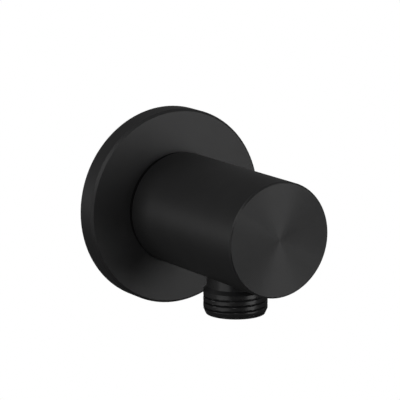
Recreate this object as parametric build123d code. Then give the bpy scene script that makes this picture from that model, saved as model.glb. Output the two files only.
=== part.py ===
"""Wall outlet elbow for a hand shower: a turned cylinder on a round wall plate, hose thread underneath.

Frame: the wall is the XZ plane, the origin is the inlet axis at the wall, the elbow stands out along -Y and
the hose hangs down along -Z. All sizes are millimetres.
"""

import os

from build123d import *

# Wall plate
PLATE_DIAMETER = 65.5
PLATE_DEPTH = 7.2
PLATE_FACE_WALL = 3.0
PLATE_RIM_WALL = 3.0
PLATE_EDGE_BREAK = 0.8
SEAL_WIDTH = 3.5

# Elbow body
BODY_DIAMETER = 37.2
BODY_REACH = 67.7
BODY_EDGE_BREAK = 0.5
SHADOW_GAP_WIDTH = 2.0
SHADOW_GAP_DEPTH = 1.5
SPIGOT_DIAMETER = 30.0
SPIGOT_LENGTH = 4.5
WATERWAY_DIAMETER = 12.0
DRILL_POINT_LENGTH = 3.5

# Inlet nipple, screwed into the pipe in the wall
PIPE_THREAD_DIAMETER = 20.8
INLET_LENGTH_IN_WALL = 15.0
INLET_LENGTH_IN_PLATE = 1.0
SOCKET_DIAMETER = 18.6
SOCKET_END = 27.0
NIPPLE_BORE_DIAMETER = 11.0
THREAD_LEAD_CHAMFER = 0.8
HEX_KEY_SIZE = 12.0
HEX_KEY_DEPTH = 7.0
SCREW_GROOVE_DEPTH = 0.7
FIRST_ORING_FROM_WALL = 18.5
ORING_SPACING = 4.5

# Outlet nipple, screwed up into the body
OUTLET_FROM_WALL = 42.7
OUTLET_DROP_BELOW_BODY = 9.9
HOSE_THREAD_LENGTH = 9.0
THREAD_START_LENGTH = 1.2
NECK_DIAMETER = 18.7
SEAT_DEPTH = 6.6
SHANK_DIAMETER = 15.0
SHANK_LENGTH = 5.5
OUTLET_ORING_BELOW_SHOULDER = 1.6

# Fixing screw and seals
SCREW_DIAMETER = 6.0
SCREW_FROM_WALL = 14.0
SCREW_RECESS = 2.0
SCREW_POINT_DIAMETER = 3.0
SCREW_KEY_SIZE = 3.0
SCREW_KEY_DEPTH = 3.5
ORING_SECTION = 1.4
ORING_SIDE_ROOM = 0.5
FIT_CLEARANCE = 0.05
SOCKET_END_ROOM = 1.0
CUT_OVERRUN = 1.0

# Radii and stations that follow from the sizes above
PLATE_RADIUS = PLATE_DIAMETER / 2
BODY_RADIUS = BODY_DIAMETER / 2
SPIGOT_RADIUS = SPIGOT_DIAMETER / 2
PLATE_BORE_RADIUS = SPIGOT_RADIUS + FIT_CLEARANCE
RECESS_RADIUS = PLATE_RADIUS - PLATE_RIM_WALL
RECESS_DEPTH = PLATE_DEPTH - PLATE_FACE_WALL
SOCKET_RADIUS = SOCKET_DIAMETER / 2
NIPPLE_RADIUS = SOCKET_RADIUS - FIT_CLEARANCE
NIPPLE_END = SOCKET_END - SOCKET_END_ROOM
PIPE_THREAD_RADIUS = PIPE_THREAD_DIAMETER / 2
NECK_RADIUS = NECK_DIAMETER / 2
SEAT_RADIUS = NECK_RADIUS + FIT_CLEARANCE
SHANK_RADIUS = SHANK_DIAMETER / 2
OUTLET_END_BELOW_AXIS = BODY_RADIUS + OUTLET_DROP_BELOW_BODY
SHOULDER_BELOW_AXIS = BODY_RADIUS - SEAT_DEPTH
SHANK_TOP_BELOW_AXIS = SHOULDER_BELOW_AXIS - SHANK_LENGTH
THREAD_TOP_BELOW_AXIS = OUTLET_END_BELOW_AXIS - HOSE_THREAD_LENGTH
ORING_RADIUS = ORING_SECTION / 2
GROOVE_WIDTH = ORING_SECTION + ORING_SIDE_ROOM
SCREW_RADIUS = SCREW_DIAMETER / 2
SCREW_TIP_BELOW_AXIS = NIPPLE_RADIUS - SCREW_GROOVE_DEPTH + FIT_CLEARANCE
SCREW_FOOT_BELOW_AXIS = BODY_RADIUS - SCREW_RECESS


def turned(points, axis=Axis.Y):
    """A turned solid: points are (radius, station along the axis), joined by straight cuts."""
    plane = Plane.XY if axis == Axis.Y else Plane.XZ
    return revolve(plane * make_face(Polyline(*points, close=True)), axis)


def ring_groove(outer_radius, station, axis=Axis.Y):
    """The square groove that an O-ring sits in, cut into a surface of that radius."""
    bottom = outer_radius - ORING_SECTION - FIT_CLEARANCE
    low, high = station - GROOVE_WIDTH / 2, station + GROOVE_WIDTH / 2
    clear = outer_radius + ORING_SECTION
    return turned([(bottom, low), (clear, low), (clear, high), (bottom, high)], axis)


def oring(outer_radius, station, axis=Axis.Y):
    """An O-ring in such a groove, its outside level with the surface."""
    middle = outer_radius - ORING_RADIUS
    plane = Plane.XY if axis == Axis.Y else Plane.XZ
    return revolve(plane * Pos(middle, station) * Circle(ORING_RADIUS), axis)


def hex_socket(size, depth):
    """A hexagon key socket, its mouth at the origin and its depth along +Z."""
    return extrude(RegularPolygon(size / 2, 6, major_radius=False), depth)


def wall_plate():
    """The round cover, hollow behind, with the elbow's spigot in its bore."""
    edge = PLATE_EDGE_BREAK
    return turned([
        (PLATE_BORE_RADIUS, -RECESS_DEPTH),
        (RECESS_RADIUS, -RECESS_DEPTH),
        (RECESS_RADIUS, 0),
        (PLATE_RADIUS, 0),
        (PLATE_RADIUS, -PLATE_DEPTH + edge),
        (PLATE_RADIUS - edge, -PLATE_DEPTH),
        (PLATE_BORE_RADIUS, -PLATE_DEPTH),
    ])


def plate_seal():
    """The flat rubber ring that keeps water from running in behind the plate."""
    outer = RECESS_RADIUS - FIT_CLEARANCE
    return turned([
        (outer - SEAL_WIDTH, -RECESS_DEPTH),
        (outer, -RECESS_DEPTH),
        (outer, 0),
        (outer - SEAL_WIDTH, 0),
    ])


def elbow_body():
    """The cylinder: turned outside, bored from behind and from below, so the water turns down inside it."""
    edge = BODY_EDGE_BREAK
    gap_front = PLATE_DEPTH + SHADOW_GAP_WIDTH
    step_radius = BODY_RADIUS - SHADOW_GAP_DEPTH
    spigot_end = PLATE_DEPTH - SPIGOT_LENGTH
    waterway_radius = WATERWAY_DIAMETER / 2
    waterway_end = OUTLET_FROM_WALL + waterway_radius
    body = turned([
        (SOCKET_RADIUS, -spigot_end),
        (SPIGOT_RADIUS, -spigot_end),
        (SPIGOT_RADIUS, -PLATE_DEPTH),
        (step_radius, -PLATE_DEPTH),
        (step_radius, -gap_front),
        (BODY_RADIUS, -gap_front),
        (BODY_RADIUS, -BODY_REACH + edge),
        (BODY_RADIUS - edge, -BODY_REACH),
        (0, -BODY_REACH),
        (0, -waterway_end - DRILL_POINT_LENGTH),
        (waterway_radius, -waterway_end),
        (waterway_radius, -SOCKET_END),
        (SOCKET_RADIUS, -SOCKET_END),
    ])
    body -= ring_groove(SPIGOT_RADIUS, plate_oring_station())
    below = -BODY_RADIUS - CUT_OVERRUN
    shank_hole = SHANK_RADIUS + FIT_CLEARANCE
    outlet_hole = turned([
        (0, 0),
        (waterway_radius, 0),
        (waterway_radius, -SHANK_TOP_BELOW_AXIS),
        (shank_hole, -SHANK_TOP_BELOW_AXIS),
        (shank_hole, -SHOULDER_BELOW_AXIS),
        (SEAT_RADIUS, -SHOULDER_BELOW_AXIS),
        (SEAT_RADIUS, below),
        (0, below),
    ], Axis.Z)
    body -= Pos(0, -OUTLET_FROM_WALL, 0) * outlet_hole
    screw_hole = Cylinder(SCREW_RADIUS + FIT_CLEARANCE, -below, align=(Align.CENTER, Align.CENTER, Align.MAX))
    return body - Pos(0, -SCREW_FROM_WALL, 0) * screw_hole


def plate_oring_station():
    """The plate's grip ring sits in the middle of the plate's face wall."""
    return -PLATE_DEPTH + PLATE_FACE_WALL / 2


def spigot_oring_stations():
    """Two O-rings seal the inlet nipple in the body's socket."""
    return [-FIRST_ORING_FROM_WALL - i * ORING_SPACING for i in range(2)]


def wall_nipple():
    """The inlet nipple: pipe thread in the wall, sealed spigot in the body, hexagon key socket at its front."""
    lead = THREAD_LEAD_CHAMFER
    bore = NIPPLE_BORE_DIAMETER / 2
    groove_half = SCREW_RADIUS
    groove_bottom = NIPPLE_RADIUS - SCREW_GROOVE_DEPTH
    nipple = turned([
        (bore, INLET_LENGTH_IN_WALL),
        (PIPE_THREAD_RADIUS - lead, INLET_LENGTH_IN_WALL),
        (PIPE_THREAD_RADIUS, INLET_LENGTH_IN_WALL - lead),
        (PIPE_THREAD_RADIUS, -INLET_LENGTH_IN_PLATE),
        (NIPPLE_RADIUS, -INLET_LENGTH_IN_PLATE),
        (NIPPLE_RADIUS, -SCREW_FROM_WALL + groove_half),
        (groove_bottom, -SCREW_FROM_WALL + SCREW_POINT_DIAMETER / 2),
        (groove_bottom, -SCREW_FROM_WALL - SCREW_POINT_DIAMETER / 2),
        (NIPPLE_RADIUS, -SCREW_FROM_WALL - groove_half),
        (NIPPLE_RADIUS, -NIPPLE_END),
        (bore, -NIPPLE_END),
    ])
    for station in spigot_oring_stations():
        nipple -= ring_groove(NIPPLE_RADIUS, station)
    key = Plane((0, -NIPPLE_END, 0), x_dir=(1, 0, 0), z_dir=(0, 1, 0)) * hex_socket(HEX_KEY_SIZE, HEX_KEY_DEPTH)
    return nipple - key


def outlet_nipple():
    """The hose nipple: shank and neck inside the body, hose thread and hexagon key socket below."""
    lead = THREAD_LEAD_CHAMFER
    bore = NIPPLE_BORE_DIAMETER / 2
    nipple = turned([
        (bore, -SHANK_TOP_BELOW_AXIS - FIT_CLEARANCE),
        (SHANK_RADIUS, -SHANK_TOP_BELOW_AXIS - FIT_CLEARANCE),
        (SHANK_RADIUS, -SHOULDER_BELOW_AXIS),
        (NECK_RADIUS, -SHOULDER_BELOW_AXIS),
        (NECK_RADIUS, -THREAD_TOP_BELOW_AXIS),
        (PIPE_THREAD_RADIUS, -THREAD_TOP_BELOW_AXIS - THREAD_START_LENGTH),
        (PIPE_THREAD_RADIUS, -OUTLET_END_BELOW_AXIS + lead),
        (PIPE_THREAD_RADIUS - lead, -OUTLET_END_BELOW_AXIS),
        (bore, -OUTLET_END_BELOW_AXIS),
    ], Axis.Z)
    nipple -= ring_groove(NECK_RADIUS, outlet_oring_station(), Axis.Z)
    nipple -= Pos(0, 0, -OUTLET_END_BELOW_AXIS) * hex_socket(HEX_KEY_SIZE, HEX_KEY_DEPTH)
    return Pos(0, -OUTLET_FROM_WALL, 0) * nipple


def outlet_oring_station():
    """The outlet's O-ring sits just below the shoulder, inside the body's seat."""
    return -SHOULDER_BELOW_AXIS - OUTLET_ORING_BELOW_SHOULDER


def grub_screw():
    """The fixing screw from below: its point draws the body onto the inlet nipple's groove."""
    point_radius = SCREW_POINT_DIAMETER / 2
    foot = -SCREW_FOOT_BELOW_AXIS
    screw = turned([
        (0, -SCREW_TIP_BELOW_AXIS),
        (point_radius - FIT_CLEARANCE, -SCREW_TIP_BELOW_AXIS),
        (SCREW_RADIUS, -SCREW_TIP_BELOW_AXIS - (SCREW_RADIUS - point_radius)),
        (SCREW_RADIUS, foot),
        (0, foot),
    ], Axis.Z)
    screw -= Pos(0, 0, foot) * hex_socket(SCREW_KEY_SIZE, SCREW_KEY_DEPTH)
    return Pos(0, -SCREW_FROM_WALL, 0) * screw


def pieces():
    """Every piece by the name of its node."""
    front, rear = spigot_oring_stations()[1], spigot_oring_stations()[0]
    return {
        "wall_plate": wall_plate(),
        "plate_seal": plate_seal(),
        "plate_oring": oring(SPIGOT_RADIUS, plate_oring_station()),
        "elbow_body": elbow_body(),
        "wall_nipple": wall_nipple(),
        "rear_spigot_oring": oring(NIPPLE_RADIUS, rear),
        "front_spigot_oring": oring(NIPPLE_RADIUS, front),
        "grub_screw": grub_screw(),
        "outlet_nipple": outlet_nipple(),
        "outlet_oring": Pos(0, -OUTLET_FROM_WALL, 0) * oring(NECK_RADIUS, outlet_oring_station(), Axis.Z),
    }


os.makedirs("parts", exist_ok=True)
for node, solid in pieces().items():
    export_step(solid, f"parts/{node}.step")
    print(node, round(solid.volume, 1))
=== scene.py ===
# %% [markdown]
# A matt black wall outlet elbow for a shower hose. The turned plate and cylinder come from the CAD model, and
# the two threaded nipples are made here, because a helix is easier to cut into a fine mesh than into a solid.

# %% Load the frame
import math

import bmesh
import bpy
from mathutils import Matrix, Vector


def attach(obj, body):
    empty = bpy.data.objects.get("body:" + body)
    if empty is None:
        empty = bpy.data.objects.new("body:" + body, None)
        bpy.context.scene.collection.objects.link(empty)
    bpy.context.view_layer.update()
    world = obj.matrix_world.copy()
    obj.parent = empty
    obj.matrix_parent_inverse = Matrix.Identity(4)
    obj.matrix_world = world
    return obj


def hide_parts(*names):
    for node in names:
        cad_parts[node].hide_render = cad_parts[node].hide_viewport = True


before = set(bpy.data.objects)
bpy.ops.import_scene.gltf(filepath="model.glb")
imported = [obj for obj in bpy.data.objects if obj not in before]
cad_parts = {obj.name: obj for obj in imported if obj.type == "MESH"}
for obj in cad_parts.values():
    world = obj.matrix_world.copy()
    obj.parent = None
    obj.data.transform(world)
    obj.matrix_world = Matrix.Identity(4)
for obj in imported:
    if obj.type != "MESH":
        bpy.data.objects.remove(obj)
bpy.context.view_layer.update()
print("CAD nodes:", sorted(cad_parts))

# Sizes in millimetres, as the CAD model has them
MM = 0.001
PLATE_DEPTH = 7.2
BODY_REACH = 67.7
BODY_EDGE_BREAK = 0.5
PIPE_THREAD_RADIUS = 10.4
LEAD_CHAMFER = 0.8
NIPPLE_BORE_RADIUS = 5.5
HEX_HALF_SIZE = 6.0
HEX_DEPTH = 7.0
ORING_GROOVE_HALF = 0.95
ORING_GROOVE_DEPTH = 1.45
OUTLET_FROM_WALL = 42.7

# The threads in millimetres, which the CAD model has as plain cylinders with a shorter lead
THREAD_PITCH = 1.814
THREAD_DEPTH = 0.8
THREAD_CREST_SHARE = 0.65
THREAD_PLAIN_START = 1.6
THREAD_RUN_OUT = 1.8
LEAD_LENGTH = 1.8

# How fine the nipples' meshes are
SEGMENTS = 144
THREAD_ROWS_PER_MM = 10


# %% [markdown]
# Every finish is a node material on Object coordinates, so nothing stretches and no image is needed. A small
# helper builds the nodes they share: a fine noise that varies colour and roughness, and a bump of real height
# in metres.

# %% Material helpers
NOISE_LOW = 0.3
NOISE_HIGH = 0.7
CLOUD_SCALE = 90.0


def new_material(name):
    """An empty node material with its output, and the shader tree to fill."""
    material = bpy.data.materials.new(name)
    material.use_nodes = True
    tree = material.node_tree
    tree.nodes.clear()
    return material, tree, tree.nodes.new("ShaderNodeOutputMaterial")


def object_noise(tree, scale):
    """Noise on Object coordinates; scale is in cells a metre."""
    place = tree.nodes.new("ShaderNodeTexCoord")
    noise = tree.nodes.new("ShaderNodeTexNoise")
    noise.inputs["Scale"].default_value = scale
    noise.inputs["Detail"].default_value = 4.0
    tree.links.new(place.outputs["Object"], noise.inputs["Vector"])
    return noise.outputs["Fac"]


def spread(tree, noise, low, high):
    """Maps noise onto a range."""
    node = tree.nodes.new("ShaderNodeMapRange")
    node.inputs["From Min"].default_value = NOISE_LOW
    node.inputs["From Max"].default_value = NOISE_HIGH
    node.inputs["To Min"].default_value = low
    node.inputs["To Max"].default_value = high
    tree.links.new(noise, node.inputs["Value"])
    return node.outputs["Result"]


def tint(tree, noise, dark, light):
    """Mixes two colours by noise."""
    ramp = tree.nodes.new("ShaderNodeValToRGB")
    ramp.color_ramp.elements[0].position = NOISE_LOW
    ramp.color_ramp.elements[1].position = NOISE_HIGH
    ramp.color_ramp.elements[0].color = (*dark, 1)
    ramp.color_ramp.elements[1].color = (*light, 1)
    tree.links.new(noise, ramp.inputs["Fac"])
    return ramp.outputs["Color"]


def bump(tree, height, metres):
    """A bump of that height in metres."""
    node = tree.nodes.new("ShaderNodeBump")
    node.inputs["Distance"].default_value = metres
    node.inputs["Strength"].default_value = 1.0
    tree.links.new(height, node.inputs["Height"])
    return node.outputs["Normal"]


def coated(tree, dark, light, roughness, grain, grain_height=0.0, metallic=0.0, ior=1.5):
    """A Principled shader whose colour and roughness follow noise, with a bump if its grain has a height."""
    shader = tree.nodes.new("ShaderNodeBsdfPrincipled")
    shader.inputs["IOR"].default_value = ior
    shader.inputs["Metallic"].default_value = metallic
    cloud = object_noise(tree, CLOUD_SCALE)
    fine = object_noise(tree, grain)
    tree.links.new(tint(tree, cloud, dark, light), shader.inputs["Base Color"])
    tree.links.new(spread(tree, fine, *roughness), shader.inputs["Roughness"])
    if grain_height:
        tree.links.new(bump(tree, fine, grain_height), shader.inputs["Normal"])
    return shader


def simple_finish(name, **look):
    """A material with one coated shader."""
    material, tree, output = new_material(name)
    tree.links.new(coated(tree, **look).outputs["BSDF"], output.inputs["Surface"])
    return material


# %% [markdown]
# The black coat is a satin paint: almost no colour of its own, so what shows is a soft 4% reflection of the
# room. The end face keeps the lathe's rings under the coat. Fine rings throw the light across themselves,
# which anisotropy on a radial tangent gives, and a mask on depth limits them to that face. A mask on radius
# paints shade onto the plate under the cylinder's foot, a ring of painted shadow that makes the shadow gap
# read as a thin dark line.

# %% The black coats
PLATE_DARK = (0.0200, 0.0200, 0.0205)
PLATE_LIGHT = (0.0245, 0.0245, 0.0251)
COAT_DARK = (0.0165, 0.0165, 0.0169)
COAT_LIGHT = (0.0205, 0.0205, 0.0210)
FACE_DARK = (0.0120, 0.0120, 0.0123)
FACE_LIGHT = (0.0150, 0.0150, 0.0154)
# Painted shade: the dark colour put on the plate under the cylinder's foot, where the gap's shadow falls
PAINTED_GAP_SHADE = (0.012, 0.012, 0.012)
COAT_ROUGHNESS = (0.43, 0.51)
COAT_GRAIN = 9000.0
COAT_GRAIN_HEIGHT = 0.000004
FACE_ROUGHNESS = (0.36, 0.42)
FACE_IOR = 1.44
FACE_ANISOTROPY = 0.95
QUARTER_TURN = 0.25
RING_WAVELENGTH = 0.00045
RING_HEIGHT = 0.000004
# Where the painted shade lies: the plate's front under the cylinder's foot, in millimetres
PAINTED_SHADE_RADIUS = 18.25
PAINTED_SHADE_DEPTH = 1.0


def math_node(tree, operation, value, number=0.0):
    """One step of arithmetic on a value; the number is the second operand, where the operation takes one."""
    node = tree.nodes.new("ShaderNodeMath")
    node.operation = operation
    node.inputs[1].default_value = number
    tree.links.new(value, node.inputs[0])
    return node


def depth_and_radius(tree):
    """The distance along the cylinder's axis and the distance from it, in metres."""
    place = tree.nodes.new("ShaderNodeTexCoord")
    split = tree.nodes.new("ShaderNodeSeparateXYZ")
    tree.links.new(place.outputs["Object"], split.inputs["Vector"])
    flat = tree.nodes.new("ShaderNodeCombineXYZ")
    tree.links.new(split.outputs["X"], flat.inputs["X"])
    tree.links.new(split.outputs["Z"], flat.inputs["Y"])
    radius = tree.nodes.new("ShaderNodeVectorMath")
    radius.operation = "LENGTH"
    tree.links.new(flat.outputs["Vector"], radius.inputs[0])
    return split.outputs["Y"], radius.outputs["Value"]


def masked(tree, output, mask, outside, inside):
    """Sends one shader to the output where the mask is 0 and another where it is 1."""
    mix = tree.nodes.new("ShaderNodeMixShader")
    tree.links.new(mask.outputs["Value"], mix.inputs["Fac"])
    tree.links.new(outside.outputs["BSDF"], mix.inputs[1])
    tree.links.new(inside.outputs["BSDF"], mix.inputs[2])
    tree.links.new(mix.outputs["Shader"], output.inputs["Surface"])


def plate_finish(name):
    """The satin coat, with painted shade in a dark ring under the cylinder's foot."""
    material, tree, output = new_material(name)
    coat = coated(tree, PLATE_DARK, PLATE_LIGHT, COAT_ROUGHNESS, COAT_GRAIN, COAT_GRAIN_HEIGHT)
    # Painted shade: a dark matt shader standing in for the shadow in the gap
    painted_shade = tree.nodes.new("ShaderNodeBsdfDiffuse")
    painted_shade.inputs["Color"].default_value = (*PAINTED_GAP_SHADE, 1)
    depth, radius = depth_and_radius(tree)
    # The mask of the painted shade: the plate's front, inside the radius of the cylinder's foot
    in_front = math_node(tree, "LESS_THAN", depth, (-PLATE_DEPTH + PAINTED_SHADE_DEPTH) * MM)
    under_foot = math_node(tree, "LESS_THAN", radius, PAINTED_SHADE_RADIUS * MM)
    in_painted_shade = math_node(tree, "MULTIPLY", in_front.outputs["Value"])
    tree.links.new(under_foot.outputs["Value"], in_painted_shade.inputs[1])
    masked(tree, output, in_painted_shade, coat, painted_shade)
    return material


def ringed_face(tree, radius):
    """The end face's shader: fine rings round the axis that throw the light across themselves."""
    face = coated(tree, FACE_DARK, FACE_LIGHT, FACE_ROUGHNESS, COAT_GRAIN, ior=FACE_IOR)
    face.inputs["Anisotropic"].default_value = FACE_ANISOTROPY
    face.inputs["Anisotropic Rotation"].default_value = QUARTER_TURN
    tangent = tree.nodes.new("ShaderNodeTangent")
    tangent.direction_type = "RADIAL"
    tangent.axis = "Y"
    tree.links.new(tangent.outputs["Tangent"], face.inputs["Tangent"])
    turns = math_node(tree, "MULTIPLY", radius, 2 * math.pi / RING_WAVELENGTH)
    rings = math_node(tree, "SINE", turns.outputs["Value"])
    tree.links.new(bump(tree, rings.outputs["Value"], RING_HEIGHT), face.inputs["Normal"])
    return face


def turned_finish(name):
    """The satin coat, with the lathe's rings on the end face."""
    material, tree, output = new_material(name)
    coat = coated(tree, COAT_DARK, COAT_LIGHT, COAT_ROUGHNESS, COAT_GRAIN, COAT_GRAIN_HEIGHT)
    depth, radius = depth_and_radius(tree)
    on_face = math_node(tree, "LESS_THAN", depth, (-BODY_REACH + BODY_EDGE_BREAK / 2) * MM)
    masked(tree, output, on_face, coat, ringed_face(tree, radius))
    return material


plate_coat = plate_finish("satin_black_plate")
body_coat = turned_finish("satin_black_turned")
print("black coats:", plate_coat.name, body_coat.name)

# %% [markdown]
# The other finishes have no mask. The hose nipple's black is glossier than the coat, the inlet nipple is bare
# brass, the seals are rubber and the screw is steel.

# %% The other finishes
outlet_coat = simple_finish(
    "outlet_black",
    dark=COAT_DARK,
    light=COAT_LIGHT,
    roughness=(0.26, 0.32),
    grain=7000.0,
    grain_height=0.000002,
    ior=1.47,
)
brass = simple_finish(
    "brass",
    dark=(0.55, 0.36, 0.13),
    light=(0.66, 0.46, 0.19),
    roughness=(0.2, 0.34),
    grain=5000.0,
    grain_height=0.000003,
    metallic=1.0,
)
rubber = simple_finish(
    "seal_rubber",
    dark=(0.012, 0.012, 0.012),
    light=(0.024, 0.024, 0.023),
    roughness=(0.6, 0.8),
    grain=4000.0,
    grain_height=0.00001,
)
steel = simple_finish(
    "screw_steel",
    dark=(0.30, 0.30, 0.31),
    light=(0.42, 0.42, 0.43),
    roughness=(0.25, 0.4),
    grain=6000.0,
    grain_height=0.000003,
    metallic=1.0,
)

NODE_FINISH = {
    "wall_plate": plate_coat,
    "elbow_body": body_coat,
    "grub_screw": steel,
    "plate_seal": rubber,
    "plate_oring": rubber,
    "rear_spigot_oring": rubber,
    "front_spigot_oring": rubber,
    "outlet_oring": rubber,
}
for node, material in NODE_FINISH.items():
    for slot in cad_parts[node].material_slots:
        slot.material = material
print("CAD nodes with a finish:", len(NODE_FINISH))


# %% [markdown]
# Each nipple is turned like the real one: half its section is drawn as a chain of edges and spun round the
# axis. The thread is then cut by moving the outer vertices in, by a wave that climbs one pitch a turn, and the
# hexagon key socket by moving the vertices of its wall out to six flats. Rows are closer together where the
# thread runs.

# %% Lathe, thread and socket
OUTSIDE_FROM = HEX_HALF_SIZE + 2
WALL_TOLERANCE = 0.01
WELD_DISTANCE = 0.0005
SHARP_ANGLE = math.radians(38)


def rows(radius, start, end):
    """Section points along a straight outside, close enough together for a thread."""
    count = max(2, round(abs(end - start) * THREAD_ROWS_PER_MM))
    return [(radius, start + (end - start) * i / count) for i in range(count + 1)]


def lead(end, inwards):
    """Section points of a thread's tapered lead, from its full radius out to its end.

    Inwards is the sign of the way from that end into the thread.
    """
    count = round(LEAD_LENGTH * THREAD_ROWS_PER_MM)
    shares = [i / count for i in range(1, count + 1)]
    return [(PIPE_THREAD_RADIUS - LEAD_CHAMFER * s, end + inwards * LEAD_LENGTH * (1 - s)) for s in shares]


def groove(radius, station):
    """Section points of a square seal groove, in a section that runs towards lower stations."""
    start, end = station + ORING_GROOVE_HALF, station - ORING_GROOVE_HALF
    bottom = radius - ORING_GROOVE_DEPTH
    return [(radius, start), (bottom, start), (bottom, end), (radius, end)]


def thread_radius(station, angle):
    """The radius of a rounded thread at a station along the axis and an angle round it."""
    phase = (station / THREAD_PITCH - angle / (2 * math.pi)) % 1.0
    slope = max(0.0, abs(2 * phase - 1) - THREAD_CREST_SHARE) / (1 - THREAD_CREST_SHARE)
    rounded = 0.5 - 0.5 * math.cos(math.pi * slope)
    return PIPE_THREAD_RADIUS - THREAD_DEPTH * (0.5 * slope + 0.5 * rounded)


def hex_radius(angle):
    """The radius of a hexagon's wall at an angle."""
    flat_angle = math.pi / 3
    return HEX_HALF_SIZE / math.cos((angle + flat_angle / 2) % flat_angle - flat_angle / 2)


def cut_radius(radius, station, angle, thread, socket):
    """The radius that a vertex has once the thread and the key socket are cut.

    The thread is given from its free end to the end where it runs out, and the socket from low to high.
    """
    low, high = sorted(thread)
    if radius > OUTSIDE_FROM and low <= station <= high:
        run_in = min(1.0, max(0.0, abs(thread[1] - station) - THREAD_PLAIN_START) / THREAD_RUN_OUT)
        cut = min(radius, thread_radius(station, angle))
        return radius + (cut - radius) * run_in
    on_wall = abs(radius - HEX_HALF_SIZE) < WALL_TOLERANCE
    if on_wall and socket[0] - WALL_TOLERANCE <= station <= socket[1] + WALL_TOLERANCE:
        return hex_radius(angle)
    return radius


def spun(section):
    """A closed section of (radius, station), spun about Z."""
    shape = bmesh.new()
    chain = [shape.verts.new((radius, 0, station)) for radius, station in section]
    edges = [shape.edges.new((a, b)) for a, b in zip(chain, chain[1:] + chain[:1])]
    bmesh.ops.spin(
        shape,
        geom=chain + edges,
        cent=(0, 0, 0),
        axis=(0, 0, 1),
        angle=2 * math.pi,
        steps=SEGMENTS,
        use_merge=True,
    )
    bmesh.ops.remove_doubles(shape, verts=shape.verts, dist=WELD_DISTANCE)
    return shape


def add_piece(name, shape):
    """An object in the scene with that shape as its mesh."""
    mesh = bpy.data.meshes.new(name)
    shape.to_mesh(mesh)
    shape.free()
    piece = bpy.data.objects.new(name, mesh)
    bpy.context.scene.collection.objects.link(piece)
    return piece


def lathe(name, section, thread, socket):
    """A turned piece about Z with its thread and key socket, smooth but for its edges."""
    shape = spun(section)
    for vert in shape.verts:
        radius = math.hypot(vert.co.x, vert.co.y)
        angle = math.atan2(vert.co.y, vert.co.x)
        scale = cut_radius(radius, vert.co.z, angle, thread, socket) / radius
        vert.co.x *= scale
        vert.co.y *= scale
    bmesh.ops.recalc_face_normals(shape, faces=shape.faces)
    piece = add_piece(name, shape)
    piece.data.polygons.foreach_set("use_smooth", [True] * len(piece.data.polygons))
    piece.data.set_sharp_from_angle(angle=SHARP_ANGLE)
    return piece


def settle(piece, turn, place, node, material):
    """Puts the lathe's work where its CAD node is, with its place in the mesh."""
    for vert in piece.data.vertices:
        vert.co = (Vector(place) + turn(vert.co)) * MM
    piece.data.materials.append(material)
    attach(piece, "root")
    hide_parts(node)
    print(piece.name, "faces:", len(piece.data.polygons))


# %% [markdown]
# The hose nipple, from its shank inside the cylinder to the tapered end below. The thread runs out under a
# plain collar, and the neck above the collar is thinner than the thread's root.

# %% Hose nipple
SHANK_TOP = -6.55
SHANK_RADIUS = 7.5
SHOULDER = -12.0
NECK_RADIUS = 9.35
OUTLET_SEAL = -13.6
THREAD_TOP = -19.5
THREAD_START_SLOPE = 1.2
EDGE_SUPPORT = 0.2
OUTLET_END = -28.5

outlet_section = [
    (NIPPLE_BORE_RADIUS, SHANK_TOP),
    (SHANK_RADIUS, SHANK_TOP),
    (SHANK_RADIUS, SHOULDER),
    (NECK_RADIUS, SHOULDER),
    *groove(NECK_RADIUS, OUTLET_SEAL),
    (NECK_RADIUS, THREAD_TOP + EDGE_SUPPORT),
    (NECK_RADIUS, THREAD_TOP),
    *rows(PIPE_THREAD_RADIUS, THREAD_TOP - THREAD_START_SLOPE, OUTLET_END + LEAD_LENGTH),
    *lead(OUTLET_END, 1),
    (HEX_HALF_SIZE, OUTLET_END),
    (HEX_HALF_SIZE, OUTLET_END + HEX_DEPTH),
    (NIPPLE_BORE_RADIUS, OUTLET_END + HEX_DEPTH),
]
outlet_thread = (OUTLET_END, THREAD_TOP)
outlet_socket = (OUTLET_END, OUTLET_END + HEX_DEPTH)
outlet = lathe("hose_nipple", outlet_section, outlet_thread, outlet_socket)
settle(outlet, lambda co: co, (0, -OUTLET_FROM_WALL, 0), "outlet_nipple", outlet_coat)

# %% [markdown]
# The inlet nipple is the same work in bare brass. It is drawn along Z and laid along Y, with its key socket in
# front.

# %% Inlet nipple
INLET_END = 15.0
INLET_SHOULDER = -1.0
SPIGOT_RADIUS = 9.25
SPIGOT_END = -26.0
SCREW_STATION = -14.0
SCREW_GROOVE_HALF = 3.0
SCREW_GROOVE_FLAT_HALF = 1.5
SCREW_GROOVE_DEPTH = 0.7
REAR_SEAL = -18.5
FRONT_SEAL = -23.0

screw_bottom = SPIGOT_RADIUS - SCREW_GROOVE_DEPTH
inlet_section = [
    (NIPPLE_BORE_RADIUS, INLET_END),
    *reversed(lead(INLET_END, -1)),
    *rows(PIPE_THREAD_RADIUS, INLET_END - LEAD_LENGTH, INLET_SHOULDER),
    (SPIGOT_RADIUS, INLET_SHOULDER),
    (SPIGOT_RADIUS, SCREW_STATION + SCREW_GROOVE_HALF),
    (screw_bottom, SCREW_STATION + SCREW_GROOVE_FLAT_HALF),
    (screw_bottom, SCREW_STATION - SCREW_GROOVE_FLAT_HALF),
    (SPIGOT_RADIUS, SCREW_STATION - SCREW_GROOVE_HALF),
    *groove(SPIGOT_RADIUS, REAR_SEAL),
    *groove(SPIGOT_RADIUS, FRONT_SEAL),
    (SPIGOT_RADIUS, SPIGOT_END),
    (HEX_HALF_SIZE, SPIGOT_END),
    (HEX_HALF_SIZE, SPIGOT_END + HEX_DEPTH),
    (NIPPLE_BORE_RADIUS, SPIGOT_END + HEX_DEPTH),
]
inlet_thread = (INLET_END, INLET_SHOULDER)
inlet_socket = (SPIGOT_END, SPIGOT_END + HEX_DEPTH)
inlet = lathe("inlet_nipple", inlet_section, inlet_thread, inlet_socket)
settle(inlet, lambda co: Vector((co.y, co.z, co.x)), (0, 0, 0), "wall_nipple", brass)

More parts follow.
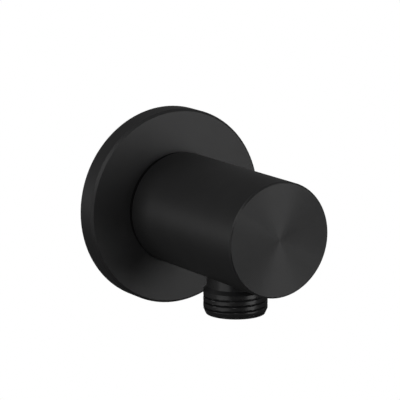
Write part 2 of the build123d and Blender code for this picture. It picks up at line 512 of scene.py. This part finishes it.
# %% [markdown]
# A photograph of black goods is a picture of the lights in them. The right box shows in the plate and the end
# face, and the cylinder hides it from the left of the plate. The left box shows in the hose nipple, and a small
# strong one behind it draws the band along the cylinder. The last one, in front on the left, only lifts the
# darkest places. Places and sizes are in metres.

# %% Lights
SUBJECT = Vector((0, -0.03, 0))


def soft_box(name, place, width, height, radiance, lean=0.0):
    """An upright rectangular light at a place relative to the object, turned to it.

    Radiance is what a mirror shows, and lean turns the light in its own plane, in degrees.
    """
    light = bpy.data.lights.new(name, "AREA")
    light.shape = "RECTANGLE"
    light.size = width
    light.size_y = height
    light.energy = radiance * math.pi * width * height
    lamp = bpy.data.objects.new(name, light)
    lamp.location = SUBJECT + Vector(place)
    level = Vector((place[0], place[1], 0))
    upright = level.to_track_quat("Z", "Y").to_matrix()
    lamp.rotation_euler = (upright @ Matrix.Rotation(math.radians(lean), 3, "Z")).to_euler()
    bpy.context.scene.collection.objects.link(lamp)
    print(name, "power in watts:", round(light.energy, 2))


soft_box("right_box", (0.28, -0.52, 0.06), 0.33, 0.58, 1.95, lean=-15)
soft_box("left_box", (-1.18, -0.24, -0.30), 1.0, 0.4, 0.9)
soft_box("back_left_box", (-1.055, 0.49, 0.05), 0.70, 0.24, 3.6)
soft_box("front_left_box", (-0.85, -0.92, 0.72), 0.8, 0.8, 2.2)

# %% [markdown]
# The floor and the background are white to the camera only: in reflections they would turn the black coat grey.
# What the coat reflects instead is a dim room, a little brighter in front of the object than behind it.

# %% Background and floor
WHITE = (1, 1, 1, 1)
ROOM_IN_FRONT = 0.16
ROOM_BEHIND = 0.13
FLOOR_GREY = (0.2, 0.2, 0.2, 1)
FLOOR_LEVEL = -1.0
FLOOR_HALF = 6.0


def white_to_camera(tree, white, other, output):
    """Sends white to the output where the camera looks straight at it, and another shader in reflections."""
    path = tree.nodes.new("ShaderNodeLightPath")
    mix = tree.nodes.new("ShaderNodeMixShader")
    tree.links.new(path.outputs["Is Camera Ray"], mix.inputs["Fac"])
    tree.links.new(other, mix.inputs[1])
    tree.links.new(white, mix.inputs[2])
    tree.links.new(mix.outputs["Shader"], output.inputs["Surface"])


def room_strength(tree):
    """How bright the dim room is, by the direction along Y."""
    around = tree.nodes.new("ShaderNodeTexCoord")
    direction = tree.nodes.new("ShaderNodeSeparateXYZ")
    tree.links.new(around.outputs["Generated"], direction.inputs["Vector"])
    dimming = tree.nodes.new("ShaderNodeMapRange")
    dimming.inputs["From Min"].default_value = -1
    dimming.inputs["To Min"].default_value = ROOM_IN_FRONT
    dimming.inputs["To Max"].default_value = ROOM_BEHIND
    tree.links.new(direction.outputs["Y"], dimming.inputs["Value"])
    return dimming.outputs["Result"]


def set_background():
    """A world that is white to the camera and a dim room to the object."""
    world = bpy.data.worlds.new("studio")
    bpy.context.scene.world = world
    world.use_nodes = True
    tree = world.node_tree
    tree.nodes.clear()
    room = tree.nodes.new("ShaderNodeBackground")
    room.inputs["Color"].default_value = WHITE
    tree.links.new(room_strength(tree), room.inputs["Strength"])
    paper = tree.nodes.new("ShaderNodeBackground")
    paper.inputs["Color"].default_value = WHITE
    output = tree.nodes.new("ShaderNodeOutputWorld")
    white_to_camera(tree, paper.outputs["Background"], room.outputs["Background"], output)


def floor_finish():
    """A material that is white to the camera and matt grey to the object."""
    material, tree, output = new_material("pale_floor")
    matt = tree.nodes.new("ShaderNodeBsdfDiffuse")
    matt.inputs["Color"].default_value = FLOOR_GREY
    paper = tree.nodes.new("ShaderNodeEmission")
    white_to_camera(tree, paper.outputs["Emission"], matt.outputs["BSDF"], output)
    return material


set_background()
shape = bmesh.new()
bmesh.ops.create_grid(shape, x_segments=1, y_segments=1, size=FLOOR_HALF)
bmesh.ops.translate(shape, verts=shape.verts, vec=(0, 0, FLOOR_LEVEL))
floor = add_piece("floor", shape)
floor.data.materials.append(floor_finish())
print("floor level in metres:", FLOOR_LEVEL)

# %% [markdown]
# A long lens from the left and a little above, as the product photograph was taken. The shift only moves the
# frame.

# %% Camera
AZIMUTH = math.radians(-32.62)
ELEVATION = math.radians(12.31)
AIM = Vector((0, -0.0240, 0))
CAMERA_DISTANCE = 0.787
SENSOR_WIDTH = 36.0
FRAME_PIXELS = 400
FOCAL_PIXELS = 2409
SHIFT_PIXELS = (-4.19, 15.41)

camera_data = bpy.data.cameras.new("camera")
camera_data.sensor_width = SENSOR_WIDTH
camera_data.lens = FOCAL_PIXELS * SENSOR_WIDTH / FRAME_PIXELS
camera_data.shift_x = SHIFT_PIXELS[0] / FRAME_PIXELS
camera_data.shift_y = SHIFT_PIXELS[1] / FRAME_PIXELS
camera = bpy.data.objects.new("camera", camera_data)
back = Vector((
    math.sin(AZIMUTH) * math.cos(ELEVATION),
    -math.cos(AZIMUTH) * math.cos(ELEVATION),
    math.sin(ELEVATION),
))
camera.location = AIM + back * CAMERA_DISTANCE
camera.rotation_euler = back.to_track_quat("Z", "Y").to_euler()
bpy.context.scene.collection.objects.link(camera)
bpy.context.scene.camera = camera
bpy.context.scene.view_settings.view_transform = "Standard"
print("lens in millimetres:", round(camera_data.lens, 1))
